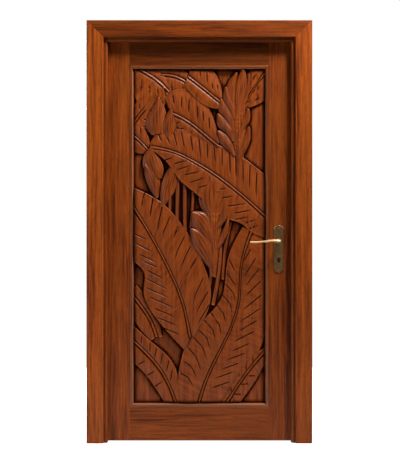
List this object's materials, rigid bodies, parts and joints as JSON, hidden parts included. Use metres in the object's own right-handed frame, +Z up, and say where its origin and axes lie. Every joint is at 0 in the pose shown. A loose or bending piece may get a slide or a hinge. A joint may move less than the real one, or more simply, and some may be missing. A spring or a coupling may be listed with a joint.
{
  "type": "carved wooden door",
  "caption": "Hinged hardwood door with a carved foliage panel, lever handles and a mortise lock, in its rebated frame with casings.",
  "frame": {"origin": "on the floor, midway across the opening, at half the leaf's thickness", "axes": "+X to the lock side seen from the front, +Y through the door to the back where it opens, +Z up"},
  "size_m": [1.13, 0.1604, 2.118],
  "materials": {
    "frame_wood": "varnished reddish hardwood, satin, straight grain",
    "leaf_wood": "varnished reddish hardwood, satin, straight grain",
    "carved_wood": "carved and varnished hardwood, darker in its hollows",
    "aged_brass": "aged brass, bronzed, brighter on worn edges",
    "screw_brass": "brass screws with straight slots",
    "lock_steel": "plain bright steel"
  },
  "bodies": {
    "frame": {"hinge_jamb": "frame_wood", "strike_jamb": "frame_wood", "head_jamb": "frame_wood", "hinge_stop": "frame_wood", "strike_stop": "frame_wood", "head_stop": "frame_wood", "front_casing_left": "frame_wood", "front_casing_right": "frame_wood", "front_casing_head": "frame_wood", "back_casing_left": "frame_wood", "back_casing_right": "frame_wood", "back_casing_head": "frame_wood", "strike_plate": "aged_brass", "strike_screws": "screw_brass", "hinge_top_jamb_leaf": "aged_brass", "hinge_middle_jamb_leaf": "aged_brass", "hinge_bottom_jamb_leaf": "aged_brass", "hinge_top_pin": "aged_brass", "hinge_middle_pin": "aged_brass", "hinge_bottom_pin": "aged_brass", "hinge_jamb_screws": "screw_brass"},
    "leaf": {"hinge_stile": "leaf_wood", "lock_stile": "leaf_wood", "top_rail": "leaf_wood", "bottom_rail": "leaf_wood", "carved_panel": "carved_wood", "front_bead_left": "leaf_wood", "front_bead_right": "leaf_wood", "front_bead_top": "leaf_wood", "front_bead_bottom": "leaf_wood", "back_bead_left": "leaf_wood", "back_bead_right": "leaf_wood", "back_bead_top": "leaf_wood", "back_bead_bottom": "leaf_wood", "hinge_top_door_leaf": "aged_brass", "hinge_middle_door_leaf": "aged_brass", "hinge_bottom_door_leaf": "aged_brass", "hinge_door_screws": "screw_brass", "lock_case": "lock_steel", "lock_cover": "lock_steel", "forend": "aged_brass", "forend_screws": "screw_brass", "backplate_front": "aged_brass", "backplate_back": "aged_brass", "plate_screws": "screw_brass", "latch_spring": "lock_steel"},
    "handle": {"lever_front": "aged_brass", "lever_back": "aged_brass", "spindle": "lock_steel", "grub_screws": "lock_steel", "follower": "lock_steel"},
    "latch": {"latch_bolt": "lock_steel"},
    "bolt": {"deadbolt": "lock_steel"}
  },
  "joints": [
    {"name": "leaf_swing", "type": "hinge", "parent": "frame", "child": "leaf", "pos_m": [-0.4715, 0.029, 1], "axis": [0, 0, 1], "range_deg": [0, 150]},
    {"name": "lever_turn", "type": "hinge", "parent": "leaf", "child": "handle", "pos_m": [0.4, 0, 1.012], "axis": [0, -1, 0], "range_deg": [0, 40], "stiffness_Nm_per_rad": 1.2, "springref_deg": -45.84},
    {"name": "latch_draw", "type": "slide", "parent": "leaf", "child": "latch", "axis": [-1, 0, 0], "range_m": [0, 0.012], "deforming": ["latch_spring"]},
    {"name": "bolt_throw", "type": "slide", "parent": "leaf", "child": "bolt", "axis": [1, 0, 0], "range_m": [0, 0.02]}
  ],
  "couplings": [
    {"joint": "latch_draw", "follows": "lever_turn", "m_per_rad": 0.01719}
  ]
}
